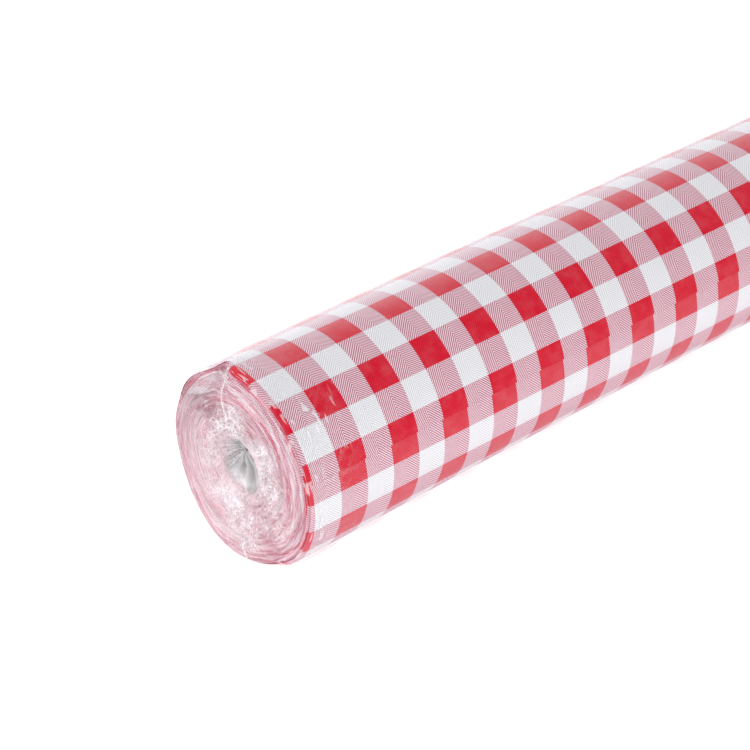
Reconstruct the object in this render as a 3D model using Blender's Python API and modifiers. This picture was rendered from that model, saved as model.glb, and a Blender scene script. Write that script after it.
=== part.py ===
"""A roll of gingham tablecloth on its core, wrapped in clear film and lying on its side.

Metres, +Z up. The roll's axis runs along X. The origin is on the surface that the roll lies on, under its middle.
"""
import math

import bmesh
import bpy

# The roll
WEB_WIDTH = 1.000           # the tablecloth's width, which is the roll's length
FILM_RADIUS = 0.0532        # outside of the film
FILM_WALL = 0.0003
LAST_TURN_WALL = 0.0004
GAP = 0.0003                # clearance between touching pieces
FACETS = 72                 # sides of every round section

# The core
BORE_RADIUS = 0.0150
CORE_WALL = 0.0020

# Where the web parts into packs of turns, as shares of the way from the core to the last turn
INNER_PACK_SHARE = 0.30
MIDDLE_PACK_SHARE = 0.66

# The web's free cut edge, as an angle round the roll from the front (-Y), positive upwards
TAIL_ANGLE = math.radians(17.6)
TAIL_SLOT = math.radians(0.6)

# The roll's own weight flattens it below: half the flat's width, as an angle seen from the axis
FLAT_HALF_ANGLE = math.radians(10.0)

# The film at each end
RIM_ROUNDING = 0.0010       # radius of the film's bend over the roll's rim
TUCK_DEPTH = 0.030          # how far the film goes into the bore
RIM_STEPS = 4
SLEEVE_MARGIN = 0.004       # the sleeve stops this far inside the web's edge, where the end film takes over

CORE_RADIUS = BORE_RADIUS + CORE_WALL
WOUND_START = CORE_RADIUS + GAP
WOUND_END = FILM_RADIUS - FILM_WALL - GAP - LAST_TURN_WALL - GAP
FLAT_SAG = FILM_RADIUS * (1.0 - math.cos(FLAT_HALF_ANGLE))
AXIS_HEIGHT = FILM_RADIUS - FLAT_SAG


def clear_scene():
    for obj in list(bpy.data.objects):
        bpy.data.objects.remove(obj, do_unlink=True)


def new_collection(name):
    collection = bpy.data.collections.new(name)
    bpy.context.scene.collection.children.link(collection)
    return collection


def plain_material(name, color, roughness, metallic=0.0, alpha=1.0):
    material = bpy.data.materials.new(name)
    material.use_nodes = True
    shader = material.node_tree.nodes["Principled BSDF"]
    shader.inputs["Base Color"].default_value = (*color, 1.0)
    shader.inputs["Roughness"].default_value = roughness
    shader.inputs["Metallic"].default_value = metallic
    shader.inputs["Alpha"].default_value = alpha
    return material


def core_board():
    return plain_material("core_board", (0.40, 0.37, 0.34), 0.85)


def wound_cloth():
    return plain_material("wound_cloth", (0.75, 0.45, 0.50), 0.75)


def printed_cloth():
    return plain_material("printed_cloth", (0.66, 0.02, 0.05), 0.65)


def clear_film():
    return plain_material("clear_film", (0.92, 0.93, 0.95), 0.08, alpha=0.25)


def sag(radius):
    """How far the section of this radius is flattened below. The core stays round."""
    share = (radius - CORE_RADIUS) / (FILM_RADIUS - CORE_RADIUS)
    return FLAT_SAG * max(0.0, share)


def section_point(radius, angle):
    """(y, z) from the roll's axis, at an angle up from the front, on a circle that is flat below."""
    y = -radius * math.cos(angle)
    z = radius * math.sin(angle)
    return y, max(z, -(radius - sag(radius)))


def facet_angles():
    """Angles all round, with two of them on the ends of the flat."""
    return [2.0 * math.pi * step / FACETS for step in range(FACETS)]


def ring_outline(radius):
    return [section_point(radius, angle) for angle in facet_angles()]


def open_outline(outer_radius, inner_radius):
    """One turn that starts and ends at the tail: round its outside, then back round its inside."""
    start = TAIL_ANGLE
    end = TAIL_ANGLE + 2.0 * math.pi - TAIL_SLOT
    angles = [start]
    angles += [a + turn for turn in (0.0, 2.0 * math.pi) for a in facet_angles()
               if start + TAIL_SLOT < a + turn < end - TAIL_SLOT]
    angles.append(end)
    outside = [section_point(outer_radius, angle) for angle in angles]
    inside = [section_point(inner_radius, angle) for angle in reversed(angles)]
    return outside + inside


def along_roll(name, outlines, length, material, collection):
    """A flat outline, with its holes, given the roll's length: a filled 2D curve, extruded both ways."""
    curve = bpy.data.curves.new(name, "CURVE")
    curve.dimensions = "2D"
    curve.fill_mode = "BOTH"
    curve.extrude = length / 2.0
    for outline in outlines:
        spline = curve.splines.new("POLY")
        spline.points.add(len(outline) - 1)
        for point, (across, up) in zip(spline.points, outline):
            point.co = (across, up, 0.0, 1.0)
        spline.use_cyclic_u = True
    piece = bpy.data.objects.new(name, curve)
    # the curve's own X lies along world Y, its Y along world Z, and its depth along world X
    piece.rotation_euler = (math.radians(90.0), 0.0, math.radians(90.0))
    piece.location = (0.0, 0.0, AXIS_HEIGHT)
    curve.materials.append(material)
    collection.objects.link(piece)
    return piece


def loft(name, rings, wall, material, collection):
    """An open skin through rings of (x, radius), in order along +X outside, thickened inwards."""
    mesh = bmesh.new()
    rows = []
    for x, radius in rings:
        row = [mesh.verts.new((x, *section_point(radius, angle))) for angle in facet_angles()]
        rows.append(row)
    for row, following in zip(rows, rows[1:]):
        for i in range(FACETS):
            j = (i + 1) % FACETS
            mesh.faces.new((row[i], following[i], following[j], row[j]))
    data = bpy.data.meshes.new(name)
    mesh.to_mesh(data)
    mesh.free()
    data.materials.append(material)
    data.shade_smooth()
    piece = bpy.data.objects.new(name, data)
    piece.location = (0.0, 0.0, AXIS_HEIGHT)
    collection.objects.link(piece)
    solidify = piece.modifiers.new("wall", "SOLIDIFY")
    solidify.thickness = wall
    solidify.offset = -1.0
    return piece


def make_core_tube(collection):
    """A turned tube: its profile runs round the wall, and Screw turns it about the roll's axis."""
    half = WEB_WIDTH / 2.0
    profile = bmesh.new()
    corners = [(CORE_RADIUS, half), (CORE_RADIUS, -half), (BORE_RADIUS, -half), (BORE_RADIUS, half)]
    verts = [profile.verts.new((radius, 0.0, along)) for radius, along in corners]
    for i, vert in enumerate(verts):
        profile.edges.new((vert, verts[(i + 1) % len(verts)]))
    data = bpy.data.meshes.new("core_tube")
    profile.to_mesh(data)
    profile.free()
    data.materials.append(core_board())
    tube = bpy.data.objects.new("core_tube", data)
    tube.rotation_euler = (0.0, math.radians(90.0), 0.0)
    tube.location = (0.0, 0.0, AXIS_HEIGHT)
    collection.objects.link(tube)
    screw = tube.modifiers.new("turned", "SCREW")
    screw.axis = "Z"
    screw.steps = FACETS
    screw.render_steps = FACETS
    screw.use_merge_vertices = True
    screw.merge_threshold = 0.00001
    return tube


def make_wound_turns(collection):
    """The web's turns as three packs, with a slit between one pack and the next."""
    depth = WOUND_END - WOUND_START
    breaks = [0.0, INNER_PACK_SHARE, MIDDLE_PACK_SHARE, 1.0]
    names = ["turns_inner", "turns_middle", "turns_outer"]
    material = wound_cloth()
    for name, start, end in zip(names, breaks, breaks[1:]):
        inside = WOUND_START + start * depth
        outside = WOUND_START + end * depth - (GAP if end < 1.0 else 0.0)
        outlines = [ring_outline(outside), ring_outline(inside)]
        along_roll(name, outlines, WEB_WIDTH, material, collection)


def make_last_turn(collection):
    inside = WOUND_END + GAP
    outline = open_outline(inside + LAST_TURN_WALL, inside)
    return along_roll("last_turn", [outline], WEB_WIDTH, printed_cloth(), collection)


def make_film_sleeve(material, collection):
    half = WEB_WIDTH / 2.0 - SLEEVE_MARGIN
    return loft("film_sleeve", [(-half, FILM_RADIUS), (half, FILM_RADIUS)], FILM_WALL, material, collection)


def end_film_rings(side):
    """From the sleeve, round the roll's rim, across its end and into the bore; side is -1 left, +1 right."""
    face = WEB_WIDTH / 2.0 + GAP + FILM_WALL
    bend = FILM_RADIUS - RIM_ROUNDING
    mouth = BORE_RADIUS - GAP - FILM_WALL
    rings = [(WEB_WIDTH / 2.0 - SLEEVE_MARGIN + GAP, FILM_RADIUS)]
    for step in range(RIM_STEPS + 1):
        turn = math.radians(90.0) * step / RIM_STEPS
        along = face - RIM_ROUNDING + RIM_ROUNDING * math.sin(turn)
        rings.append((along, bend + RIM_ROUNDING * math.cos(turn)))
    rings.append((face, mouth))
    rings.append((WEB_WIDTH / 2.0 - TUCK_DEPTH, mouth))
    placed = [(side * along, radius) for along, radius in rings]
    return placed if side > 0.0 else placed[::-1]


def make_film_end(name, side, material, collection):
    return loft(name, end_film_rings(side), FILM_WALL, material, collection)


def build():
    clear_scene()
    parts = new_collection("tablecloth_roll")
    make_core_tube(parts)
    make_wound_turns(parts)
    make_last_turn(parts)
    film = clear_film()
    make_film_sleeve(film, parts)
    make_film_end("film_end_left", -1.0, film, parts)
    make_film_end("film_end_right", 1.0, film, parts)


build()
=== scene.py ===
"""The looks of a roll of gingham tablecloth in its clear film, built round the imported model.

The web of cloth is wound as real spiral sheets with thickness, and the print follows the web's own length and
width. The film is a thin clear skin with its lap, its edge creases, its gathers and its tuck into the core.
"""
import math

import bpy
import numpy as np
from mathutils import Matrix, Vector


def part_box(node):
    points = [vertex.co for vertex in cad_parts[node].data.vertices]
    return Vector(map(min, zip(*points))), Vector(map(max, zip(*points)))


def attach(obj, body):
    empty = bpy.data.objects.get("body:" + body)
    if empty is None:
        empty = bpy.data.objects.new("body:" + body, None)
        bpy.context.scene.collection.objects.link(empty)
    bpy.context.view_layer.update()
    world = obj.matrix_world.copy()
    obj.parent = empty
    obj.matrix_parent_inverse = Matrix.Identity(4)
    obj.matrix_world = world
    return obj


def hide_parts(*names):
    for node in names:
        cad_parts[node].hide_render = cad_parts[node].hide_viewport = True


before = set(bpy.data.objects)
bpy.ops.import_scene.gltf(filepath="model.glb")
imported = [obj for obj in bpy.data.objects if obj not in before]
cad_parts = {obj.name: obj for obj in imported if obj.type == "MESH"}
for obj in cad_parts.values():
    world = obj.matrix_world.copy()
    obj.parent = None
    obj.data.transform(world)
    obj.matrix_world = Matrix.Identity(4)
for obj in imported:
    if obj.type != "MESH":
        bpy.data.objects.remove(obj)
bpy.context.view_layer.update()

# ---- Places and sizes, from the frame ----
_, WEB_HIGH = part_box("last_turn")
_, FILM_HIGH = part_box("film_sleeve")
CORE_LOW, CORE_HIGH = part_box("core_tube")
_, OUTER_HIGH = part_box("turns_outer")
_, MIDDLE_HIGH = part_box("turns_middle")
_, INNER_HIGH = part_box("turns_inner")

HALF = WEB_HIGH.x                    # half the web's width, from the roll's middle to an end
WEB_R = WEB_HIGH.y
FILM_R = FILM_HIGH.y
CORE_R = CORE_HIGH.y
AXIS_Z = (CORE_LOW.z + CORE_HIGH.z) / 2.0
FLAT_SAG = FILM_R - AXIS_Z           # how much of a full circle the flat under the roll takes away

# Angles round the roll are measured up from its front, in the plane across it: 90 degrees is the top.

# ---- The web ----
CHECK = 0.3053 * WEB_R               # one check of the gingham
CHECK_TURN = math.radians(17.493)    # the same check as an angle round the roll
CHECK_EDGE = 0.006                   # half of a check's blurred edge, in checks
ROW_ANGLE = math.radians(81.56)      # where row 0 of the print starts
BAND_X = -HALF + 0.0053              # where band 0 of the print starts, along the roll
TWILL_LINES = 11.0                   # twill lines to a check, along the web
TAIL_ANGLE = math.radians(17.6)      # the web's free cut edge
BACK_START = math.radians(132.0)     # from here on the web is pulled a little tighter
BACK_STRETCH = 1.019
WANDER = 0.055                       # checks that the web wanders along the roll in one turn
UNDER_ROW = -13.0                    # a row at the bottom, from which the web runs in below its own edge
LOW_SIDE_ROW = -15.8                 # from here down the roll faces the floor, and painted shade darkens its print
PRINT_SHEEN_MOST = 0.42                      # how far the painted sheen pales the print where it is seen edge-on

LAST_TURN_STEPS = 260
LAST_TURN_LAP = math.radians(25.0)
TURN_STEP = 0.0003                   # how much deeper the last turn lies after going round once
LAST_TURN_WALL = 0.00026             # the last turn is this thick in its lap, and a little thicker beyond
LAST_TURN_MORE = 0.00010

LEAF_STEPS = 108                     # points to a turn
LEAF_PITCH = 0.00058                 # the wound turns are drawn as leaves of three or four layers each
LEAF_WALL = 0.00042
EDGE_ROUGH = 0.00030                 # how far the leaves' edges step in and out; twice as far near the core

# ---- How the ends are out of true ----
END_BULGE = 0.0018                   # how far the ends stand out between the core and the rim
END_TILT = 0.0675 * WEB_R            # how far the near end leans out, most of all at this angle
END_TILT_ANGLE = math.radians(210.0)
FAR_TILT_ANGLE = math.radians(70.0)
RIM_DROOP = 0.0016                   # how far the rims are drawn in, over the last RIM_REACH of the roll
RIM_REACH = 0.005
RIM_SOFT_ANGLE = math.radians(142.0)
RIM_SOFT_WIDTH = math.radians(35.0)
RIM_SOFT_MORE = 0.2
# Where the roll is pressed in (or swells out, below 0) near an end: angle and width in degrees, depth.
DENTS_NEAR = ((125.0, 20.0, 0.056 * WEB_R), (160.0, 22.0, -0.027 * WEB_R), (-62.0, 38.0, -0.045 * WEB_R))
DENTS_FAR = ((60.0, 38.0, 0.042 * WEB_R),)
DENT_REACH = 3.8 * WEB_R             # how far from the end a dent fades out
CONE = 0.115 * WEB_R                 # how far the outer turns are pushed back at the top of the near end
CONE_ANGLE = math.radians(116.5)
CONE_LOW = math.radians(19.5)        # the pushed back part starts this far before that angle
CONE_HIGH = math.radians(72.0)       # and ends this far after it
SLIP = 0.080 * WEB_R                 # how far the outer turns have slipped out, low on the back side
SLIP_ANGLE = math.radians(258.0)
SLIP_WIDTH = math.radians(36.0)
SLIT_SHARE = 0.765                   # where the outer turns part from the middle ones, in web radii
SLIT_ANGLE = math.radians(255.0)
EAR = 0.0022                         # how far the rim stands up at the top of the near end
EAR_ANGLE = math.radians(105.0)
EAR_WIDTH = 0.17
EAR_REACH = 0.020
NICK = 0.0029                        # how far the rim is pressed in beside that
NICK_ANGLE = math.radians(135.0)
NICK_WIDTH = math.radians(16.0)
NICK_REACH = 0.010

SHADE_ANGLE = math.radians(168.0)    # where painted shade greys the wound edges
SHADE_WIDTH = 0.9
RIM_SHADE_ANGLE = math.radians(128.0)    # and where it greys the pushed back part, except its last few turns
RIM_SHADE_WIDTH = 0.55

# ---- The film ----
FILM_GAP = 0.00025
FILM_LAP = math.radians(2.5)         # how far the film laps over itself, below the web's free edge
SLEEVE_STEPS = 332
SLEEVE_RIM = 0.0045                  # how far from the ends the film round the roll stops
FILM_SHINE = 0.07                    # how much the wrinkled film mirrors, and the film seen edge-on
RIM_SHINE = 0.16
STREAK_ANGLE = math.radians(48.0)    # where the wrinkles pulled round the roll are, with their painted glints, and how far from the end
STREAK_OFF = 0.016
FIN_TOP_ANGLE = math.radians(128.0)  # the two creases of the film's flat tube, and their height
FIN_LOW_ANGLE = math.radians(-45.0)
FIN_TOP = 0.0001
FIN_LOW = 0.0005
FACE_CREASE_TOP = math.radians(100.0)    # where the same two creases run in over the near end
FACE_CREASE_LOW = math.radians(-77.0)
END_ROWS, END_COLUMNS = 480, 150     # points round the film over an end, and in towards its middle
END_RIM = 0.0022                     # how wide the film's bend over the rim is
PINCH_DEPTH = 0.0065                 # the pinch in the core's mouth: how deep, and how far off the axis
PINCH_Y = 0.0035
PINCH_Z = 0.0038

# ---- The camera: its direction, its lens, how far off it is and where it aims ----
VIEW_AZIMUTH = math.radians(-39.16)
VIEW_ELEVATION = math.radians(35.77)
SENSOR_WIDTH = 36.0                  # this and the lens in millimetres
VIEW_LENS = 101.664
VIEW_DISTANCE = 20.12 * WEB_R
AIM = (BAND_X + 1.485 * WEB_R, 0.0, AXIS_Z + 0.292 * WEB_R)

# ---- The light ----
FLOOR_HALF = 12.0
FLOOR_GAP = 0.0004                   # how far the floor lies below the roll
FLOOR_COLOUR = (0.72, 0.72, 0.72, 1.0)
FLOOR_GLOW = 0.68
WORLD_BRIGHT = 1.45
WORLD_DIM = 0.25
DIM_SIDE = (0.38, -0.42, 0.85)       # the surroundings are dimmer in this direction
BACK_SIDE = (0.35, 0.93, 0.10)       # and a little dimmer in this one
BACK_SHARE = 0.72

# Where the film over an end is bunched up: place to the right and up (in web radii), width, crumple, milk.
BUNCHES = (
    (-0.16, 0.24, 0.22, 0.80, 0.12),
    (0.33, 0.28, 0.19, 0.60, 0.24),
    (0.47, 0.02, 0.16, 0.60, 0.14),
    (-0.08, -0.36, 0.15, 0.40, 0.34),
    (0.13, -0.58, 0.26, 0.66, 0.02),
    (-0.03, 0.46, 0.19, 0.65, 0.08),
    (-0.38, -0.05, 0.14, 0.45, 0.05),
    (0.52, -0.27, 0.21, 0.42, 0.03),
    (-0.30, -0.42, 0.15, 0.30, 0.03),
)


# ---------------------------------------------------------------- helpers

def srgb(red, green, blue):
    """A colour given in 0-255 display values, as the linear values that nodes take."""
    def linear(value):
        share = value / 255.0
        return share / 12.92 if share <= 0.04045 else ((share + 0.055) / 1.055) ** 2.4
    return (linear(red), linear(green), linear(blue), 1.0)


def smooth(value):
    """0 up to 0 and 1 from 1 on, with a smooth step between them."""
    value = np.clip(value, 0.0, 1.0)
    return value * value * (3.0 - 2.0 * value)


def off_turn(angle, centre):
    """How far an angle is from a centre angle, whole turns aside."""
    return (angle - centre + math.pi) % (2.0 * math.pi) - math.pi


def bell(angle, centre, width):
    """1 at the centre angle, falling off smoothly on both sides."""
    return np.exp(-(off_turn(angle, centre) / width) ** 2)


def value_noise(u, v, seed):
    """Smooth noise from -1 to 1 over a plane, one random value for each whole number."""
    size = 64
    table = np.random.default_rng(seed).uniform(-1.0, 1.0, (size, size))
    u, v = np.broadcast_arrays(np.asarray(u, float), np.asarray(v, float))
    i, j = np.floor(u).astype(int), np.floor(v).astype(int)
    a, b = smooth(u - i), smooth(v - j)
    low = table[i % size, j % size] * (1.0 - a) + table[(i + 1) % size, j % size] * a
    high = table[i % size, (j + 1) % size] * (1.0 - a) + table[(i + 1) % size, (j + 1) % size] * a
    return low * (1.0 - b) + high * b


def around_noise(angle, along, waves, seed):
    """Noise round a circle, the same after a whole turn: waves values round, and along as it comes."""
    radius = waves / (2.0 * math.pi)
    return value_noise(17.0 + radius * np.cos(angle) + 0.37 * along,
                       29.0 + radius * np.sin(angle) + 0.93 * along, seed)


def folds(y, z, length, seed, count=5):
    """Flat facets with straight creases: triangle waves in several directions. Returns height and creases."""
    rng = np.random.default_rng(seed)
    height = np.zeros(np.shape(y))
    crest = np.zeros(np.shape(y))
    warp_y = 0.9 * value_noise(y / (2.7 * length), z / (2.7 * length), seed + 1)
    warp_z = 0.9 * value_noise(y / (2.7 * length) + 9.0, z / (2.7 * length) + 5.0, seed + 2)
    for _ in range(count):
        angle = rng.uniform(0.0, math.pi)
        step = length * rng.uniform(0.7, 1.6)
        phase = (y * math.cos(angle) + z * math.sin(angle)) / step + warp_y * math.cos(angle)
        phase = phase + warp_z * math.sin(angle) + rng.uniform(0.0, 1.0)
        wave = np.abs((phase % 1.0) * 2.0 - 1.0)
        height += wave * 2.0 - 1.0
        crest = np.maximum(crest, smooth((wave - 0.80) / 0.2))
    return height / count, crest


def sag(radius):
    """How far a turn of this radius stays above its own circle's lowest point, on the flat."""
    return FLAT_SAG * np.clip((radius - CORE_R) / (FILM_R - CORE_R), 0.0, 1.0)


def near_distance(x):
    """How far along the roll a point is from the near end."""
    return x + HALF


def far_distance(x):
    """How far along the roll a point is from the far end."""
    return HALF - x


def shaped(radius, angle, x):
    """(y, z) of a point of the wound web, with the roll's flat, tapered rims, dents and ear."""
    share = radius / WEB_R
    from_end = np.abs(near_distance(x))
    squash = 0.0
    for away, dents in ((near_distance(x), DENTS_NEAR), (far_distance(x), DENTS_FAR)):
        fade = np.clip(1.0 - away / DENT_REACH, 0.0, 1.0) ** 1.5
        for centre, width, depth in dents:
            spread = bell(angle, math.radians(centre), math.radians(width))
            squash = squash + depth * share ** 2 * fade * spread
    ear = EAR * share ** 3 * np.exp(-from_end / EAR_REACH) * bell(angle, EAR_ANGLE, EAR_WIDTH)
    nick = NICK * share ** 3 * np.exp(-from_end / NICK_REACH) * bell(angle, NICK_ANGLE, NICK_WIDTH)
    squash = squash - ear + nick
    rim = np.clip(1.0 - near_distance(x) / RIM_REACH, 0.0, 1.3) ** 2
    rim = rim + np.clip(1.0 - far_distance(x) / RIM_REACH, 0.0, 1.3) ** 2
    uneven = 1.0 + 0.5 * around_noise(angle, 0.0, 9, 71)
    uneven = uneven + RIM_SOFT_MORE * bell(angle, RIM_SOFT_ANGLE, RIM_SOFT_WIDTH)
    reach = radius - squash - RIM_DROOP * share ** 3 * rim * uneven
    y = -reach * np.cos(angle)
    z = np.maximum(reach * np.sin(angle), -(radius - sag(radius)))
    return y, z


def end_offset(radius, angle, side):
    """How far the web's edge stands out past the roll's nominal end, at this radius and angle."""
    share = radius / WEB_R
    bulge = END_BULGE * np.exp(-((share - 0.72) / 0.2) ** 2)
    if side < 0:
        tilt = END_TILT * (0.33 + np.cos(angle - END_TILT_ANGLE)) * smooth((share - 0.2) / 0.6)
        off = off_turn(angle, CONE_ANGLE)
        cone = smooth((off + CONE_LOW) / 0.16) * smooth((CONE_HIGH - off) / 0.96)
        tilt = tilt - CONE * cone * smooth((share - 0.76) / 0.24)
        slip = SLIP * bell(angle, SLIP_ANGLE, SLIP_WIDTH)
        tilt = tilt + slip * (0.45 * smooth((share - 0.40) / 0.36) + 0.55 * smooth((share - 0.74) / 0.08))
        slit = 0.0016 * bell(angle, SLIT_ANGLE, 0.55) * np.exp(-((share - SLIT_SHARE) / 0.018) ** 2)
        return bulge + tilt - slit
    tilt = 0.45 * END_TILT * np.cos(angle - FAR_TILT_ANGLE) * smooth((share - 0.2) / 0.6)
    return 0.7 * bulge + tilt


def rows_of(angle):
    """The print's row coordinate at an angle, counted down from row 0; whole turns go on along the web."""
    front = (ROW_ANGLE - np.minimum(angle, BACK_START)) / CHECK_TURN
    return front - np.maximum(angle - BACK_START, 0.0) / (CHECK_TURN * BACK_STRETCH)


def quads(rows, cols, start=0, closed=False):
    """Faces of a grid of points, numbered along each row; closed joins the last row to the first."""
    i = np.arange(rows if closed else rows - 1)[:, None]
    j = np.arange(cols - 1)[None, :]
    here, there = start + i * cols + j, start + ((i + 1) % rows) * cols + j
    return np.stack([here, here + 1, there + 1, there], -1).reshape(-1, 4)


def mesh_piece(name, points, faces, materials, which=None, uvs=None, values=None):
    """A mesh object in world metres. uvs and values hold numbers for each point; which, each face's slot."""
    data = bpy.data.meshes.new(name)
    data.from_pydata(points.tolist(), [], faces.tolist())
    for material in materials:
        data.materials.append(material)
    if which is not None:
        data.polygons.foreach_set("material_index", which.astype(np.int32))
    loops = np.zeros(len(data.loops), np.int32)
    data.loops.foreach_get("vertex_index", loops)
    for layer, pairs in (uvs or {}).items():
        data.uv_layers.new(name=layer).data.foreach_set("uv", pairs[loops].astype(np.float32).ravel())
    for layer, numbers in (values or {}).items():
        data.attributes.new(layer, "FLOAT", "POINT").data.foreach_set("value", numbers.astype(np.float32))
    data.shade_smooth()
    piece = bpy.data.objects.new(name, data)
    bpy.context.scene.collection.objects.link(piece)
    return piece


# ---------------------------------------------------------------- materials

class Nodes:
    """A short way to wire a node tree: each call makes a node and gives its first output."""

    def __init__(self, tree):
        self.tree = tree

    def put(self, socket, value):
        if isinstance(value, bpy.types.NodeSocket):
            self.tree.links.new(value, socket)
        else:
            socket.default_value = value

    def math(self, operation, *values, clamp=False):
        node = self.tree.nodes.new("ShaderNodeMath")
        node.operation = operation
        node.use_clamp = clamp
        for socket, value in zip(node.inputs, values):
            self.put(socket, value)
        return node.outputs[0]

    def mix(self, factor, first, second):
        node = self.tree.nodes.new("ShaderNodeMix")
        node.data_type = "RGBA"
        self.put(node.inputs["Factor"], factor)
        self.put(node.inputs["A"], first)
        self.put(node.inputs["B"], second)
        return node.outputs["Result"]

    def ramp(self, value, low, high, to_low=0.0, to_high=1.0):
        node = self.tree.nodes.new("ShaderNodeMapRange")
        node.interpolation_type = "SMOOTHSTEP"
        for socket, number in zip(node.inputs, (value, low, high, to_low, to_high)):
            self.put(socket, number)
        return node.outputs[0]

    def noise(self, vector, scale, detail=2.0, roughness=0.5):
        node = self.tree.nodes.new("ShaderNodeTexNoise")
        self.put(node.inputs["Vector"], vector)
        self.put(node.inputs["Scale"], scale)
        self.put(node.inputs["Detail"], detail)
        self.put(node.inputs["Roughness"], roughness)
        return node.outputs["Fac"]

    def uv(self, layer):
        node = self.tree.nodes.new("ShaderNodeUVMap")
        node.uv_map = layer
        return node.outputs[0]

    def attribute(self, layer):
        node = self.tree.nodes.new("ShaderNodeAttribute")
        node.attribute_name = layer
        return node.outputs["Fac"]

    def split(self, vector):
        node = self.tree.nodes.new("ShaderNodeSeparateXYZ")
        self.put(node.inputs[0], vector)
        return node.outputs

    def join(self, x, y, z=0.0):
        node = self.tree.nodes.new("ShaderNodeCombineXYZ")
        for socket, value in zip(node.inputs, (x, y, z)):
            self.put(socket, value)
        return node.outputs[0]

    def bump(self, height, distance, strength=1.0):
        node = self.tree.nodes.new("ShaderNodeBump")
        self.put(node.inputs["Height"], height)
        self.put(node.inputs["Distance"], distance)
        self.put(node.inputs["Strength"], strength)
        return node.outputs[0]

    def rings(self, per_metre, along_ring, drift):
        """Coordinates that run out from the roll's axis and round it, bent a little by drift."""
        place = self.place()
        _, y, z = self.split(place)
        up = self.math("SUBTRACT", z, AXIS_Z)
        square = self.math("MULTIPLY_ADD", y, y, self.math("MULTIPLY", up, up))
        reach = self.math("MAXIMUM", self.math("SQRT", square), 0.001)
        bend = self.math("MULTIPLY", self.noise(place, 70.0), drift)
        return self.join(self.math("MULTIPLY_ADD", reach, per_metre, bend),
                         self.math("MULTIPLY", self.math("DIVIDE", y, reach), along_ring),
                         self.math("MULTIPLY", self.math("DIVIDE", up, reach), along_ring))

    def hairs(self, vector, scale, width):
        """Thin curling lines of even width, where a noise crosses its middle value."""
        off = self.math("ABSOLUTE", self.math("SUBTRACT", self.noise(vector, scale, 1.0), 0.5))
        return self.ramp(off, 0.0, width, 1.0, 0.0)

    def facets(self, vector, scale):
        """Cells: how far a point is from its cell's edge, and a number for the whole cell."""
        edge = self.tree.nodes.new("ShaderNodeTexVoronoi")
        edge.feature = "DISTANCE_TO_EDGE"
        cell = self.tree.nodes.new("ShaderNodeTexVoronoi")
        for node in (edge, cell):
            self.put(node.inputs["Vector"], vector)
            self.put(node.inputs["Scale"], scale)
        return edge.outputs["Distance"], self.split(cell.outputs["Color"])[0]

    def place(self):
        """A point's place in metres, in the frame of the whole object."""
        return self.tree.nodes.new("ShaderNodeTexCoord").outputs["Object"]


def new_material(name):
    """A material with its node maker and its Principled shader."""
    material = bpy.data.materials.new(name)
    material.use_nodes = True
    tree = material.node_tree
    return material, Nodes(tree), tree.nodes["Principled BSDF"]


def twill(make, k, m):
    """A pressed herringbone: slanting lines that turn back at each half check. 0 between lines, 1 on them."""
    leaning = make.math("PINGPONG", k, 0.5)
    phase = make.math("FRACT", make.math("MULTIPLY", make.math("ADD", m, leaning), TWILL_LINES))
    return make.ramp(make.math("PINGPONG", phase, 0.5), 0.12, 0.38)


def checks(make, k, m):
    """How much a point is in a coloured band and in a coloured row of the gingham, each 0 or 1."""
    coloured = []
    for count in (k, m):
        # pingpong(count + 0.5, 1) is over a half where count is even, which is white, and under it where odd
        wave = make.math("PINGPONG", make.math("ADD", count, 0.5), 1.0)
        white = make.ramp(wave, 0.5 - CHECK_EDGE, 0.5 + CHECK_EDGE)
        coloured.append(make.math("SUBTRACT", 1.0, white))
    return coloured


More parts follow.
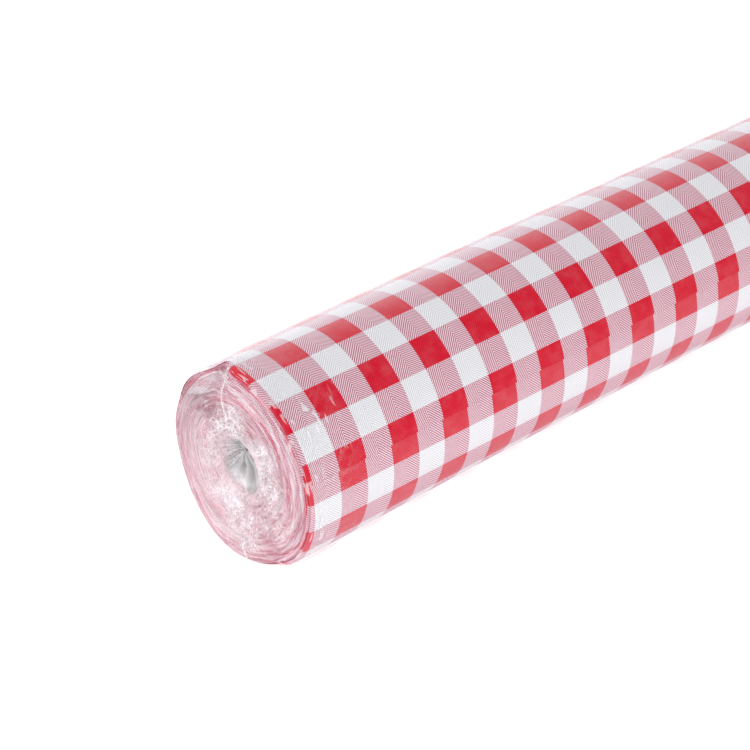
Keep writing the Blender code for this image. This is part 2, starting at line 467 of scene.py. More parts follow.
def printed_cloth():
    """Gingham: bands along the roll cross rows round it, red where both colour, pink where one does."""
    material, make, shader = new_material("gingham_print")
    uv = make.uv("print")
    wobble = make.math("MULTIPLY", make.math("SUBTRACT", make.noise(uv, 30.0), 0.5), 0.012)
    k, m, _ = make.split(uv)
    k, m = make.math("ADD", k, wobble), make.math("ADD", m, wobble)
    line = twill(make, k, m)
    band, row = checks(make, k, m)
    # the pressed twill lines are darker: partly the print's own tone, partly painted shade in the pressed
    # grooves
    white = make.mix(make.math("MULTIPLY", line, 0.75), srgb(224, 223, 226), srgb(178, 179, 186))
    pink = make.mix(line, srgb(221, 194, 202), srgb(156, 88, 108))
    red = make.mix(make.math("MULTIPLY", line, 0.5), srgb(199, 11, 42), srgb(168, 5, 29))
    coloured = make.mix(make.math("MAXIMUM", band, row), white, pink)
    colour = make.mix(make.math("MULTIPLY", band, row), coloured, red)

    # painted sheen: the print is paled towards white where it is seen edge-on, most on the upper rows and
    # less towards the floor, with a little random mottle and a faint even veil below the web's free edge; it
    # stands in for the film's reflection
    glancing = material.node_tree.nodes.new("ShaderNodeLayerWeight")
    under = make.ramp(m, UNDER_ROW, UNDER_ROW + 0.4, 1.0, 0.0)
    low_side = make.math("MULTIPLY", make.ramp(m, LOW_SIDE_ROW, LOW_SIDE_ROW + 1.6, 0.0, 1.0), under)
    strong = make.math("SUBTRACT", make.ramp(m, 0.0, 2.0, 1.0, 0.4), make.math("MULTIPLY", under, 0.6))
    strong = make.math("SUBTRACT", strong, make.math("MULTIPLY", low_side, 0.32))
    base = make.math("MULTIPLY_ADD", under, 0.028, 0.003)
    print_sheen = make.math("MULTIPLY_ADD", make.math("POWER", glancing.outputs["Facing"], 3.0), strong, base)
    print_sheen = make.math("MINIMUM", print_sheen, PRINT_SHEEN_MOST)
    mottle = make.ramp(make.noise(uv, 2.2, 3.0), 0.35, 0.75, 0.0, 0.03)
    sheened_print = make.mix(make.math("ADD", print_sheen, mottle, clamp=True), colour, srgb(236, 232, 238))
    # painted shade: the print is darkened on its low side, which faces the floor
    shaded = make.mix(make.math("MULTIPLY", low_side, 0.22), sheened_print, srgb(160, 120, 132))
    make.put(shader.inputs["Base Color"], shaded)

    fibre = make.noise(make.place(), 2600.0, 3.0, 0.6)
    height = make.math("ADD", make.math("MULTIPLY", line, -0.9), make.math("MULTIPLY", fibre, 0.1))
    make.put(shader.inputs["Normal"], make.bump(height, 0.00006, 0.8))
    make.put(shader.inputs["Roughness"], make.ramp(fibre, 0.2, 0.8, 0.50, 0.72))
    shader.inputs["Specular IOR Level"].default_value = 0.10
    return material


def cloth_back():
    """The unprinted side, where the colour shows through faintly."""
    material, make, shader = new_material("cloth_back")
    uv = make.uv("print")
    k, m, _ = make.split(uv)
    line = twill(make, k, m)
    colour = make.mix(make.math("MULTIPLY", line, 0.6), srgb(240, 226, 231), srgb(222, 190, 200))
    make.put(shader.inputs["Base Color"], colour)
    fibre = make.noise(make.place(), 2600.0, 3.0, 0.6)
    make.put(shader.inputs["Normal"], make.bump(fibre, 0.00008, 0.6))
    make.put(shader.inputs["Roughness"], make.ramp(fibre, 0.2, 0.8, 0.62, 0.80))
    return material


def cut_edge():
    """The web's cut edges, one thin layer on the next, tinted by the print that each one ends in, with
    painted shade and painted light in places.
    """
    material, make, shader = new_material("cut_edge")
    tint_and_shading = make.attribute("tint_and_shading")
    _, m, _ = make.split(make.uv("print"))
    row = make.ramp(make.math("PINGPONG", make.math("ADD", m, 0.5), 1.0), 0.35, 0.65)
    streaks = make.noise(make.rings(1000.0, 1.8, 2.4), 1.0, 3.0, 0.65)
    speckle = make.noise(make.place(), 900.0, 4.0, 0.7)
    pale = make.mix(tint_and_shading, srgb(203, 162, 173), srgb(178, 120, 136))
    inked = make.mix(tint_and_shading, srgb(192, 127, 144), srgb(158, 73, 94))
    colour = make.mix(make.math("MULTIPLY", row, 0.62), inked, pale)
    # dark and pale streaks round the rings: partly the layers' own tone, partly painted shade between them
    # and painted light on their ridges
    colour = make.mix(make.ramp(streaks, 0.41, 0.47, 0.85, 0.0), colour, srgb(150, 70, 92))
    colour = make.mix(make.ramp(streaks, 0.53, 0.59, 0.0, 0.65), colour, srgb(226, 198, 206))
    colour = make.mix(make.ramp(speckle, 0.55, 0.75, 0.0, 0.45), colour, srgb(232, 208, 215))
    # painted shade: the edges are greyed on the left side and in the pushed back part
    colour = make.mix(make.attribute("shade"), colour, srgb(140, 122, 130))
    make.put(shader.inputs["Base Color"], colour)
    make.put(shader.inputs["Normal"], make.bump(make.math("ADD", streaks, speckle), 0.00030, 0.8))
    shader.inputs["Roughness"].default_value = 0.8
    return material


def core_board():
    """Grey board, wound from strips, with the strips' seams running round it as a long helix."""
    material, make, shader = new_material("grey_board")
    x, y, z = make.split(make.place())
    turn = make.math("ARCTAN2", make.math("SUBTRACT", z, AXIS_Z), y)
    helix = make.math("ADD", make.math("MULTIPLY", x, 14.0), make.math("DIVIDE", turn, 2.0 * math.pi))
    seam = make.ramp(make.math("PINGPONG", helix, 0.5), 0.0, 0.02, 1.0, 0.0)
    drawn_out = make.join(make.math("MULTIPLY", x, 300.0), make.math("MULTIPLY", y, 900.0), z)
    fibre = make.noise(drawn_out, 1.0, 4.0, 0.6)
    board = make.mix(fibre, srgb(186, 181, 178), srgb(150, 144, 141))
    board = make.mix(make.math("MULTIPLY", seam, 0.7), board, srgb(104, 98, 95))
    make.put(shader.inputs["Base Color"], board)
    height = make.math("SUBTRACT", make.math("MULTIPLY", fibre, 0.4), seam)
    make.put(shader.inputs["Normal"], make.bump(height, 0.00025, 0.7))
    make.put(shader.inputs["Roughness"], make.ramp(fibre, 0.2, 0.8, 0.75, 0.92))
    return material


def wrinkle_glints(make, place):
    """Short dashes that run round the roll: wrinkles, whitened as painted glints."""
    x, y, z = make.split(place)
    along = make.math("MULTIPLY", x, 420.0)
    across = make.join(along, make.math("MULTIPLY", y, 75.0), make.math("MULTIPLY", z, 75.0))
    dashes = make.ramp(make.noise(across, 1.0, 1.0), 0.575, 0.64)
    patches = make.ramp(make.noise(place, 110.0), 0.46, 0.54)
    return make.math("MULTIPLY", make.math("MULTIPLY", dashes, patches), make.attribute("pulled"))


def crumples(make, place):
    """Flat facets with straight creases, and thin curling wrinkles over them: their haze and their relief."""
    warp = make.tree.nodes.new("ShaderNodeTexNoise")
    make.put(warp.inputs["Vector"], place)
    warp.inputs["Scale"].default_value = 150.0
    bent = make.tree.nodes.new("ShaderNodeVectorMath")
    bent.operation = "MULTIPLY_ADD"
    make.put(bent.inputs[0], warp.outputs["Color"])
    bent.inputs[1].default_value = (0.008, 0.008, 0.008)
    make.put(bent.inputs[2], place)
    large, large_tone = make.facets(bent.outputs[0], 140.0)
    small, small_tone = make.facets(bent.outputs[0], 320.0)
    sparse = make.ramp(make.noise(place, 100.0), 0.40, 0.52)
    curls = make.math("MULTIPLY", make.hairs(place, 330.0, 0.042), sparse)
    wrinkles = make.math("MAXIMUM", make.hairs(place, 165.0, 0.026), curls)
    large_crease = make.ramp(large, 0.0, 0.055, 0.8, 0.0)
    small_crease = make.ramp(small, 0.0, 0.08, 0.35, 0.0)
    lines = make.math("MAXIMUM", wrinkles, make.math("MAXIMUM", large_crease, small_crease))
    cloud = make.ramp(make.noise(place, 120.0, 2.0), 0.38, 0.66)
    tone = make.math("MULTIPLY_ADD", large_tone, 0.16, make.math("MULTIPLY", small_tone, 0.08))
    tone = make.math("MULTIPLY_ADD", cloud, 0.20, tone)
    relief = make.math("MULTIPLY_ADD", large, 2.4, make.math("MULTIPLY", small, 0.9))
    return make.math("MULTIPLY_ADD", lines, 0.85, tone), make.math("MULTIPLY_ADD", wrinkles, 0.15, relief)


def film_skin(make, normal, wrinkled):
    """Clear film: see-through, and a mirror where it is wrinkled or seen edge-on."""
    clear = make.tree.nodes.new("ShaderNodeBsdfTransparent")
    gloss = make.tree.nodes.new("ShaderNodeBsdfGlossy")
    gloss.inputs["Roughness"].default_value = 0.09
    make.put(gloss.inputs["Normal"], normal)
    weight = make.tree.nodes.new("ShaderNodeLayerWeight")
    make.put(weight.inputs["Normal"], normal)
    grazing = make.math("POWER", weight.outputs["Facing"], 8.0)
    rim = make.math("MAXIMUM", make.math("MULTIPLY_ADD", grazing, RIM_SHINE, -0.004), 0.0)
    skin = make.tree.nodes.new("ShaderNodeMixShader")
    make.put(skin.inputs[0], make.math("MULTIPLY_ADD", wrinkled, FILM_SHINE, rim))
    make.put(skin.inputs[1], clear.outputs[0])
    make.put(skin.inputs[2], gloss.outputs[0])
    return skin.outputs[0]


def clear_film():
    """Thin clear film: see-through and glossy, milky where it is creased or crumpled, whitened as painted
    sheen where it is seen edge-on and as painted glints along its pulled wrinkles.
    """
    material, make, shader = new_material("clear_film")
    milk, gather = make.attribute("milk"), make.attribute("gather")
    place = make.place()
    strands = make.hairs(make.rings(520.0, 4.0, 7.0), 1.0, 0.06)
    strands = make.math("MULTIPLY", strands, make.attribute("face"))
    glint_strokes = wrinkle_glints(make, place)
    crumpled, relief = crumples(make, place)

    # painted glints: the wrinkles' dashes whiten the film's haze; they also add real gloss and relief
    veil = make.math("MULTIPLY_ADD", glint_strokes, 0.85, make.math("MULTIPLY_ADD", strands, 0.20, milk))
    # painted sheen: the film's milk is raised where it is seen edge-on, as much as glance says
    plain = make.tree.nodes.new("ShaderNodeLayerWeight")
    film_sheen = make.math("POWER", plain.outputs["Facing"], 4.0)
    film_sheen = make.math("MULTIPLY", film_sheen, make.attribute("glance"))
    crumple = make.math("MULTIPLY", gather, crumpled)
    haze = make.math("ADD", make.math("ADD", veil, film_sheen), crumple, clamp=True)
    relief = make.math("MULTIPLY", relief, gather)
    relief = make.math("MULTIPLY_ADD", make.math("ADD", strands, glint_strokes), 0.12, relief)
    normal = make.bump(relief, 0.0013)

    # painted shade: a pinker, darker tint of the milky film along its creases and round the mouth
    tinted = make.mix(make.attribute("pink_shade"), srgb(243, 240, 244), srgb(226, 203, 210))
    make.put(shader.inputs["Base Color"], tinted)
    shader.inputs["Roughness"].default_value = 0.35
    make.put(shader.inputs["Normal"], normal)
    through = make.tree.nodes.new("ShaderNodeBsdfTranslucent")
    make.put(through.inputs["Color"], tinted)
    milky = make.tree.nodes.new("ShaderNodeMixShader")
    milky.inputs[0].default_value = 0.25
    make.put(milky.inputs[1], shader.outputs[0])
    make.put(milky.inputs[2], through.outputs[0])

    wrinkled = make.math("ADD", make.math("ADD", glint_strokes, gather), milk, clamp=True)
    whole = make.tree.nodes.new("ShaderNodeMixShader")
    make.put(whole.inputs[0], haze)
    make.put(whole.inputs[1], film_skin(make, normal, wrinkled))
    make.put(whole.inputs[2], milky.outputs[0])
    make.put(make.tree.nodes["Material Output"].inputs["Surface"], whole.outputs[0])
    return material


# ---------------------------------------------------------------- the wound web

def sheet_piece(name, angles, radii, near, far, inner_columns, walls, tints_and_shading, materials):
    """A closed spiral sheet. angles and radii run along the web; near and far are the x of its two edges."""
    shares = np.linspace(0.0, 1.0, inner_columns + 1)
    lead = np.array([0.0, 0.0007, 0.0020, 0.0045, 0.0100])
    body = lead[-1] + shares[1:-1] * (2.0 * HALF - 2.0 * lead[-1])
    steps = len(angles)
    columns = [near + d for d in lead]
    columns += [np.full(steps, -HALF + d) for d in body]
    columns += [far - d for d in lead[::-1]]
    x = np.stack(columns, 1)
    angle, radius = angles[:, None] + 0.0 * x, radii[:, None] + 0.0 * x
    cols = x.shape[1]
    outer = np.stack([x, *shaped(radius, angle, x)], -1).reshape(-1, 3)
    inner = np.stack([x, *shaped(radius - walls[:, None], angle, x)], -1).reshape(-1, 3)
    points = np.concatenate([outer, inner])
    points[:, 2] += AXIS_Z
    count = steps * cols
    top, under = quads(steps, cols), quads(steps, cols, count)[:, ::-1]
    i = np.arange(steps - 1) * cols
    left = np.stack([i, i + cols, count + i + cols, count + i], -1)
    i = i + cols - 1
    right = np.stack([i, count + i, count + i + cols, i + cols], -1)
    j = np.arange(cols - 1)
    first = np.stack([j, count + j, count + j + 1, j + 1], -1)
    j = j + (steps - 1) * cols
    last = np.stack([j, j + 1, count + j + 1, count + j], -1)
    faces = np.concatenate([top, under, left, right, first, last])
    # the slots: 0 is the printed side, 1 the back, 2 the cut edges
    which = np.full(len(faces), 2)
    which[:len(top)], which[len(top):len(top) + len(under)] = 0, 1
    drift = WANDER * (angle - TAIL_ANGLE) / (2.0 * math.pi)
    bands = (x - BAND_X) / CHECK + drift
    rows = rows_of(angle)
    printed = np.stack([bands, rows], -1).reshape(-1, 2)
    length = np.concatenate([[0.0], np.cumsum(radii[1:] * np.diff(angles))])
    uvs = {"print": np.concatenate([printed, printed])}
    tint_and_shading = (tints_and_shading[:, None] + 0.0 * x).reshape(-1)
    share = radius / WEB_R
    # painted shade on the cut edges: greyer on the left side and in the pushed back part, none on the last
    # few turns
    shade = 0.50 * bell(angle, SHADE_ANGLE, SHADE_WIDTH) * smooth((share - 0.45) / 0.2)
    shade = shade + 0.22 * bell(angle, RIM_SHADE_ANGLE, RIM_SHADE_WIDTH) * smooth((share - 0.72) / 0.08)
    shade = (shade * smooth((0.965 - share) / 0.04)).reshape(-1)
    values = {"tint_and_shading": np.concatenate([tint_and_shading, tint_and_shading]), "shade": np.concatenate([shade, shade])}
    piece = mesh_piece(name, points, faces, materials, which, uvs, values)
    piece.data.set_sharp_from_angle(angle=math.radians(40.0))
    return piece, float(length[-1])


def edge_steps(angles, radii, turns, seed):
    """How the edges of wound leaves step in and out, from about -1 to 1: in groups, and one by one."""
    groups = around_noise(angles, radii / 0.0006, 6, seed + 1)
    leaves = value_noise(turns * 4.0, 0.5, seed + 2)
    fray = value_noise(turns * 60.0, 0.5, seed + 3)
    return 0.9 * groups + 0.4 * leaves + 0.25 * fray


def make_last_turn(materials):
    """The outermost turn: it comes over the top and ends in the free cut edge, over the turn below it."""
    angles = np.linspace(TAIL_ANGLE, TAIL_ANGLE + 2.0 * math.pi + LAST_TURN_LAP, LAST_TURN_STEPS)
    turns = (angles - TAIL_ANGLE) / (2.0 * math.pi)
    radii = WEB_R - TURN_STEP * turns
    near = -HALF - end_offset(radii, angles, -1) + 0.0003 + 0.0003 * edge_steps(angles, radii, turns, 301)
    far = HALF + end_offset(radii, angles, 1) + 0.0004 * edge_steps(angles, radii, turns, 306)
    tints_and_shading = 0.9 + 0.1 * value_noise(angles * 4.0, 0.0, 303)
    # painted light: the last turn's edge is paler at the top of the rim, where it lies in shade
    tints_and_shading = tints_and_shading - 0.8 * bell(angles, math.radians(122.0), 0.5)
    walls = LAST_TURN_WALL + LAST_TURN_MORE * smooth((turns - 0.07) / 0.03)
    return sheet_piece("last_turn_sheet", angles, radii, near, far, 96, walls, tints_and_shading, materials)


def make_pack(name, low, high, seed, materials):
    """A pack of turns between two radii, drawn as a spiral of leaves that don't quite line up at the ends."""
    turn_count = round((high - low) / LEAF_PITCH)
    turns = np.arange(turn_count * LEAF_STEPS + 1) / LEAF_STEPS
    angles = TAIL_ANGLE + LAST_TURN_LAP + 2.0 * math.pi * turns
    radii = high - (high - low) * turns / turn_count
    share = radii / WEB_R
    rough = EDGE_ROUGH + EDGE_ROUGH * smooth((0.75 - share) / 0.3)
    near = -HALF - end_offset(radii, angles, -1) + rough * edge_steps(angles, radii, turns, seed)
    far = HALF + end_offset(radii, angles, 1) + rough * edge_steps(angles, radii, turns, seed + 5)
    pinched = np.exp(-((SLIT_SHARE - share) / 0.05)) * (share < SLIT_SHARE)
    slit = 0.0013 * bell(angles, SLIT_ANGLE, 0.50) * pinched

    tints_and_shading = 0.45 + 0.35 * smooth((share - 0.80) / 0.15) + 0.45 * around_noise(angles, radii / 0.0007, 5, 77)
    tints_and_shading = tints_and_shading + 0.45 * value_noise(turns * 3.0, 0.5, seed + 4)
    # painted shade: the edges are more deeply tinted, so darker, on the upper left, except the last few turns
    tints_and_shading = tints_and_shading + 0.35 * bell(angles, math.radians(140.0), 0.6) * smooth((0.95 - share) / 0.03)
    tints_and_shading = np.clip(tints_and_shading - 0.4 * bell(angles, math.radians(-95.0), 0.7), 0.0, 1.0)
    walls = np.full(len(angles), LEAF_WALL)
    return sheet_piece(name, angles, radii - slit, near, far, 2, walls, tints_and_shading, materials)


# ---------------------------------------------------------------- the film

def fins(angle):
    """How far the film stands off along its two edge creases, left from when it was a flat tube."""
    def one(centre, height, width):
        off = np.abs(off_turn(angle, centre))
        return height * np.clip(1.0 - off / width, 0.0, 1.0) ** 1.6
    return one(FIN_TOP_ANGLE, FIN_TOP, 0.14) + one(FIN_LOW_ANGLE, FIN_LOW, 0.17)


def film_milk_round(angle):
    """How milky the film is by angle: clear, with its two edge creases standing out."""
    return 0.10 * bell(angle, FIN_TOP_ANGLE, 0.03) + 0.10 * bell(angle, FIN_LOW_ANGLE, 0.03)


def make_sleeve(material):
    """The film round the roll. It laps over itself a little, below the web's free edge."""
    start, end = TAIL_ANGLE - FILM_LAP, TAIL_ANGLE + 2.0 * math.pi
    angles = np.linspace(start, end, SLEEVE_STEPS)
    end_steps = 0.35 * HALF * (1.0 - np.cos(np.linspace(0.0, 0.5 * math.pi, 64)))
    middle_steps = np.linspace(-0.30 * HALF, 0.30 * HALF, 10)[1:-1]
    x = np.concatenate([-HALF + SLEEVE_RIM + end_steps, middle_steps, HALF - SLEEVE_RIM - end_steps[::-1]])
    angle, along = np.meshgrid(angles, x, indexing="ij")
    near, far = np.exp(-near_distance(along) / 0.022), np.exp(-far_distance(along) / 0.022)
    pull = near + far
    # the film's near edge follows the rim, which is out of true
    along = along - end_offset(WEB_R, angle, -1) * np.exp(-(near_distance(along) - SLEEVE_RIM) / 0.03)
    height, crest = folds(along, angle * WEB_R, 0.009, 411, 4)
    slack, _ = folds(along * 0.5, angle * WEB_R, 0.016, 421, 3)
    # it rises over its own first edge in the last eighth of the turn
    over_lap = smooth(8.0 * (angle - start) / (2.0 * math.pi) - 7.0)
    lift = FILM_GAP + fins(angle) + 0.00030 * pull * (height + 1.0) + 0.00010 * (slack + 1.0)
    y, z = shaped(WEB_R + lift + 0.00020 * over_lap, angle, along)
    z = np.maximum(z, -AXIS_Z)
    points = np.stack([along, y, z + AXIS_Z], -1).reshape(-1, 3)

    milk = film_milk_round(angle) + 0.16 * crest * np.clip(pull * 1.6 - 0.25, 0.0, 1.0)
    # glance: how much painted sheen whitens the film seen edge-on, most along the top crease
    glance = 0.03 + 1.00 * bell(angle, FIN_TOP_ANGLE - 0.02, 0.20) + 0.15 * bell(angle, FIN_LOW_ANGLE, 0.12)
    # painted shade: the milky film is pinker and darker along its two creases
    pink_shade = 0.30 * bell(angle, FIN_TOP_ANGLE, 0.25) + 0.90 * bell(angle, FIN_LOW_ANGLE, 0.25)
    streaks = bell(angle, STREAK_ANGLE, 0.24) * np.exp(-((near_distance(along) - STREAK_OFF) / 0.014) ** 2)
    values = {
        "milk": np.clip(milk, 0.0, 1.0).ravel(),
        "gather": 0.06 * pull.ravel(),
        "face": np.zeros(pull.size),
        "glance": glance.ravel(),
        "pink_shade": pink_shade.ravel(),
        # where the wrinkles carry painted glints: near the end and along the streaks
        "pulled": np.clip(0.25 * near + streaks, 0.0, 1.0).ravel(),
    }
    middle = np.hypot(y, z)[:, len(x) // 2]
    around = float(np.sum(middle[1:] * np.diff(angles)))
    piece = mesh_piece("film_wrap", points, quads(len(angles), len(x)), [material], values=values)
    return piece, (float(x[-1] - x[0]), around)


def end_path(count):
    """The film's way over an end at even steps: its radius, and how far past the end it lies."""
    radius, out = [WEB_R + FILM_GAP] * 3, [-0.0100, -0.0060, -0.0030]
    for turn in np.linspace(0.0, 0.5 * math.pi, 6):
        radius.append(WEB_R + FILM_GAP - END_RIM + END_RIM * math.cos(turn))
        out.append(-0.0012 + 0.0018 * math.sin(turn))
    radius += [share * WEB_R for share in (0.80, 0.60, 0.44, 0.35, 0.30, 0.27)]
    out += [0.0008, 0.0009, 0.0012, 0.0010, 0.0002, -0.0013]
    radius += [share * WEB_R for share in (0.24, 0.14, 0.05, 0.018)]
    out += [-0.0032, -0.0065, -PINCH_DEPTH * 0.85, -PINCH_DEPTH]
    length = np.concatenate([[0.0], np.cumsum(np.hypot(np.diff(radius), np.diff(out)))])
    at = np.linspace(0.0, length[-1], count)
    return np.interp(at, length, radius), np.interp(at, length, out)


def bunches(y, z, seed):
    """How crumpled and how milky the film over an end is: in its bunches, and in a ring round the mouth."""
    wander = 0.07 * value_noise(y * 5.0 + 3.0, z * 5.0 + 3.0, seed)
    crumpled = 0.45 * np.exp(-((np.hypot(y, z) - 0.34 + wander) / 0.07) ** 2)
    milky = 0.12 * crumpled
    for right, up, width, crumple, milk in BUNCHES:
        off = np.hypot(-y - right + wander, z - up + wander)
        spot = smooth((1.6 - off / width) / 1.2)
        crumpled = np.maximum(crumpled, crumple * spot)
        milky = np.maximum(milky, milk * spot)
    return crumpled, milky


def face_creases(angle, share):
    """Where the two edge creases of the flat tube run in over the face."""
    thin_line = 0.010 / np.maximum(share, 0.3)
    top = bell(angle, FACE_CREASE_TOP + 0.22 * (1.0 - share), thin_line) * smooth((share - 0.45) / 0.1)
    low = bell(angle, FACE_CREASE_LOW, thin_line) * smooth((share - 0.70) / 0.1)
    return (top + low) * smooth((1.02 - share) / 0.05)


def end_folds(angle, share, gathered, on_face, seed):
    """Pleats drawn in towards the core, and crumples: their height, the large creases and the small ones."""
    flat_y, flat_z = -share * WEB_R * np.cos(angle), share * WEB_R * np.sin(angle)
    twist = angle + 0.5 * (1.0 - share) * around_noise(angle, 0.0, 5, seed)
    pleats = 1.0 - np.abs(around_noise(twist, share * 1.5, 46, seed + 1))
    fine_pleats = 1.0 - np.abs(around_noise(twist, share * 3.0, 120, seed + 2))
    crumple, crest = folds(flat_y, flat_z, 0.0060, seed + 3, 5)
    sparkle, sparkle_crest = folds(flat_y, flat_z, 0.0024, seed + 4, 4)
    loose = gathered * (1.0 - 0.7 * smooth((0.42 - share) / 0.10))
    drape = 0.00020 + 0.00110 * loose
    lift = drape * pleats ** 3 + 0.5 * drape * fine_pleats ** 3
    lift = lift + on_face * (0.00012 + 0.00085 * loose) * crumple
    lift = lift + on_face * (0.00005 + 0.00035 * loose) * sparkle
    return lift, crest, sparkle_crest


def make_film_end(name, side, seed, material):
    """The film over one end: taut at the rim, in pleats towards the core, tucked in and pinched shut."""
    radii, outs = end_path(END_COLUMNS)
    angles = np.linspace(0.0, 2.0 * math.pi, END_ROWS, endpoint=False)
    angle, radius = np.meshgrid(angles, radii, indexing="ij")
    share = radius / WEB_R
    on_face = smooth((0.985 - share) / 0.03) * smooth((share - 0.20) / 0.08)
    inside = smooth((0.285 - share) / 0.05)
    bunched, bunched_milk = bunches(-share * np.cos(angle), share * np.sin(angle), seed + 7)
    deep = smooth((0.265 + 0.07 * around_noise(angle, 0.0, 11, seed + 8) - share) / 0.09)
    gathered = bunched * (1.0 - deep)
    lift, crest, sparkle_crest = end_folds(angle, share, gathered, on_face, seed)
    crease = face_creases(angle, share)

    # inside the mouth: broad flutes below, many thin folds above
    above = 0.5 + 0.5 * np.sin(angle - math.radians(20.0))
    flutes = np.abs(np.sin(3.5 * angle + 1.1 * around_noise(angle, 0.0, 4, seed + 5)))
    thin = 1.0 - np.abs(around_noise(angle, share * 2.0, 70, seed + 6))
    mouth = inside * (0.0016 * flutes * (1.0 - above) + 0.0010 * thin ** 2 * above) * smooth(share / 0.15)

    face = end_offset(np.minimum(radius, WEB_R), angle, side)
    face = face * smooth((share - 0.25) / 0.2) + 0.0006 * on_face
    x = side * (HALF + outs[None, :] + lift + 0.0005 * crease + mouth + face)
    y, z = shaped(radius, angle, np.clip(x, -HALF, HALF))
    # below the mouth's lip the skin runs straight to the pinch, which lies off the axis
    drawn = smooth((0.30 - share) / 0.28)
    y, z = y + PINCH_Y * drawn, np.maximum(z + PINCH_Z * drawn, -AXIS_Z)
    points = np.stack([x, y, z + AXIS_Z], -1).reshape(-1, 3)
    faces = quads(len(angles), len(radii), closed=True)
    if side < 0:
        faces = faces[:, ::-1]

    tongue = smooth((0.5 - above) / 0.35)
    collar = np.exp(-((share - 0.305 + 0.05 * around_noise(angle, 0.0, 9, seed + 9)) / 0.075) ** 2)
    milk = 0.03 * smooth((0.985 - share) / 0.03) + 0.05 * on_face * crest + 0.55 * crease
    milk = milk + gathered * (0.10 * crest + 0.08 * sparkle_crest) + bunched_milk * (1.0 - deep)
    milk = milk + inside * (0.10 + 0.50 * thin ** 6 * (1.0 - tongue) + (0.15 + 0.20 * flutes ** 4) * tongue)
    milk = milk + collar * (0.32 + 0.12 * crest) * (1.0 - 0.25 * (1.0 - above))
    values = {
        "milk": np.clip(milk, 0.0, 0.9).ravel(),
        "gather": np.clip(gathered + 0.35 * inside * (1.0 - tongue), 0.0, 1.0).ravel(),
        "face": (on_face * (1.0 - 0.5 * gathered)).ravel(),
        # a little painted sheen where the film over the end is seen edge-on
        "glance": np.full(share.size, 0.12),
        # painted shade: the milky film is pinker and darker round the mouth
        "pink_shade": (collar * (1.0 - 0.8 * tongue * inside)).ravel(),
        # painted glints on the wrinkles at the rim
        "pulled": (0.5 * smooth((share - 0.93) / 0.05)).ravel(),
    }
    length = float(np.sum(np.hypot(np.diff(radii), np.diff(outs))))
    return mesh_piece(name, points, faces, [material], values=values), (2.0 * math.pi * WEB_R, length)


# ---------------------------------------------------------------- stage, lights and camera

def make_floor():
    """A pale floor that glows a little, so that it looks white all round the roll."""
    corners = FLOOR_HALF * np.array([[-1.0, -1.0, 0.0], [1.0, -1.0, 0.0], [1.0, 1.0, 0.0], [-1.0, 1.0, 0.0]])
    material, _, shader = new_material("pale_floor")
    shader.inputs["Base Color"].default_value = FLOOR_COLOUR
    shader.inputs["Emission Color"].default_value = (1.0, 1.0, 1.0, 1.0)
    shader.inputs["Emission Strength"].default_value = FLOOR_GLOW
    shader.inputs["Roughness"].default_value = 0.9
    shader.inputs["Specular IOR Level"].default_value = 0.1
    floor = mesh_piece("floor", corners, np.array([[0, 1, 2, 3]]), [material])
    floor.location.z = -FLOOR_GAP


def make_world():
    """Soft white surroundings, dimmer on the side that the roll's front faces, and a little behind it."""
    world = bpy.data.worlds.new("studio")
    bpy.context.scene.world = world
    world.use_nodes = True
    tree = world.node_tree
    make = Nodes(tree)
    direction = tree.nodes.new("ShaderNodeTexCoord").outputs["Generated"]

    def towards(side):
        node = tree.nodes.new("ShaderNodeVectorMath")
        node.operation = "DOT_PRODUCT"
        make.put(node.inputs[0], direction)
        node.inputs[1].default_value = Vector(side).normalized()
        return node.outputs["Value"]

    front = make.ramp(towards(DIM_SIDE), 0.45, 0.90, WORLD_BRIGHT, WORLD_DIM)
    behind = make.ramp(towards(BACK_SIDE), 0.30, 0.95, 1.0, BACK_SHARE)
    tree.nodes["Background"].inputs["Color"].default_value = (1.0, 1.0, 1.0, 1.0)
    make.put(tree.nodes["Background"].inputs["Strength"], make.math("MULTIPLY", front, behind))


def make_light(name, direction, distance, size, radiance, aim):
    """A soft box seen from aim in this direction; radiance is how bright its face is."""
    data = bpy.data.lights.new(name, "AREA")
    data.shape = "RECTANGLE"
    data.size, data.size_y = size
    data.energy = radiance * math.pi * size[0] * size[1]
    light = bpy.data.objects.new(name, data)
    bpy.context.scene.collection.objects.link(light)
    towards = Vector(direction).normalized()
    light.location = aim + towards * distance
    light.rotation_mode = "QUATERNION"
    light.rotation_quaternion = towards.to_track_quat("Z", "Y")


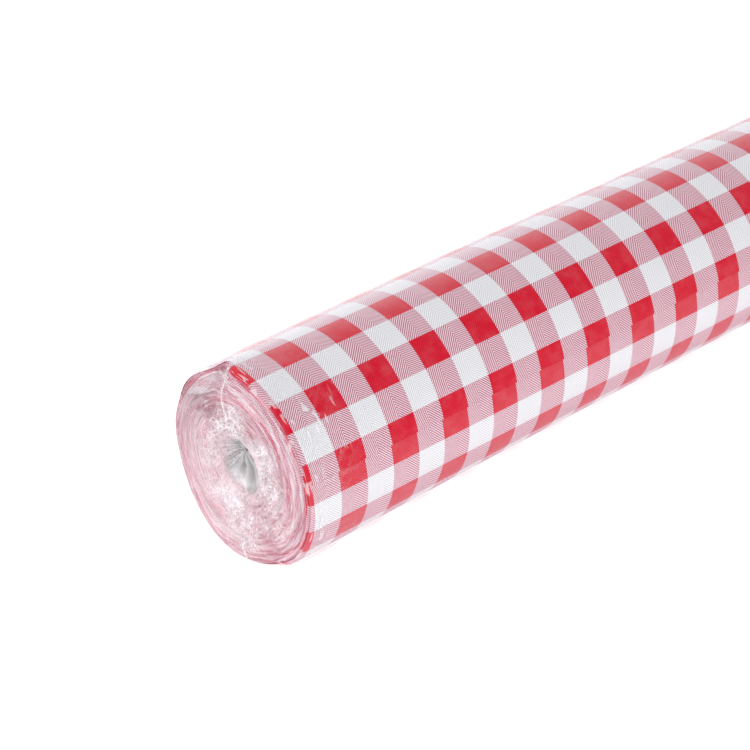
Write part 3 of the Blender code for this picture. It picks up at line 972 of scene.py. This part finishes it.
def make_lights():
    """Three soft boxes round the near end, and two small bright ones that draw the glints."""
    near_end = Vector((-HALF, 0.0, AXIS_Z))
    make_light("soft_top", (-0.10, 0.55, 1.0), 2.2, (1.6, 1.2), 1.2, near_end)
    make_light("soft_left", (-1.0, -0.55, 0.45), 2.0, (0.8, 0.8), 1.2, near_end)
    make_light("soft_front", (-0.30, -1.0, 0.22), 2.2, (1.8, 0.9), 1.6, near_end)
    make_light("kicker_back", (-0.75, 0.75, 0.20), 1.8, (0.15, 0.12), 125.0, near_end)
    make_light("kicker_front", (-0.05, -0.65, 0.80), 1.8, (0.11, 0.11), 120.0, near_end)


def make_camera():
    """The view from above and in front of the near end."""
    level = math.cos(VIEW_ELEVATION)
    back = Vector((math.sin(VIEW_AZIMUTH) * level, -math.cos(VIEW_AZIMUTH) * level, math.sin(VIEW_ELEVATION)))
    data = bpy.data.cameras.new("camera")
    data.sensor_width = SENSOR_WIDTH
    data.lens = VIEW_LENS
    camera = bpy.data.objects.new("camera", data)
    bpy.context.scene.collection.objects.link(camera)
    camera.location = Vector(AIM) + back * VIEW_DISTANCE
    camera.rotation_mode = "QUATERNION"
    camera.rotation_quaternion = back.to_track_quat("Z", "Y")
    data.clip_start, data.clip_end = 0.05, 50.0
    bpy.context.scene.camera = camera


# ---------------------------------------------------------------- build

def main():
    """Stage, light and camera, then the web, the core and the film."""
    bpy.context.scene.view_settings.view_transform = "Standard"
    make_camera()
    make_world()
    make_lights()
    make_floor()

    cloth = [printed_cloth(), cloth_back(), cut_edge()]
    last_turn, length = make_last_turn(cloth)
    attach(last_turn, "root")
    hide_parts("last_turn")

    packs = (
        ("turns_outer", MIDDLE_HIGH.y, OUTER_HIGH.y, 501),
        ("turns_middle", INNER_HIGH.y, MIDDLE_HIGH.y, 601),
        ("turns_inner", CORE_R + LEAF_WALL + 0.0001, INNER_HIGH.y, 701),
    )
    for node, low, high, seed in packs:
        pack, length = make_pack(node + "_leaves", low, high, seed, cloth)
        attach(pack, "root")
        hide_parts(node)

    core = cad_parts["core_tube"]
    for slot in core.material_slots:
        slot.material = core_board()

    film = clear_film()
    wrap, wrap_size = make_sleeve(film)
    near_end, end_size = make_film_end("film_gather_left", -1, 801, film)
    far_end, _ = make_film_end("film_gather_right", 1, 901, film)
    for piece, node in ((wrap, "film_sleeve"), (near_end, "film_end_left"), (far_end, "film_end_right")):
        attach(piece, "root")
        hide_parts(node)


main()
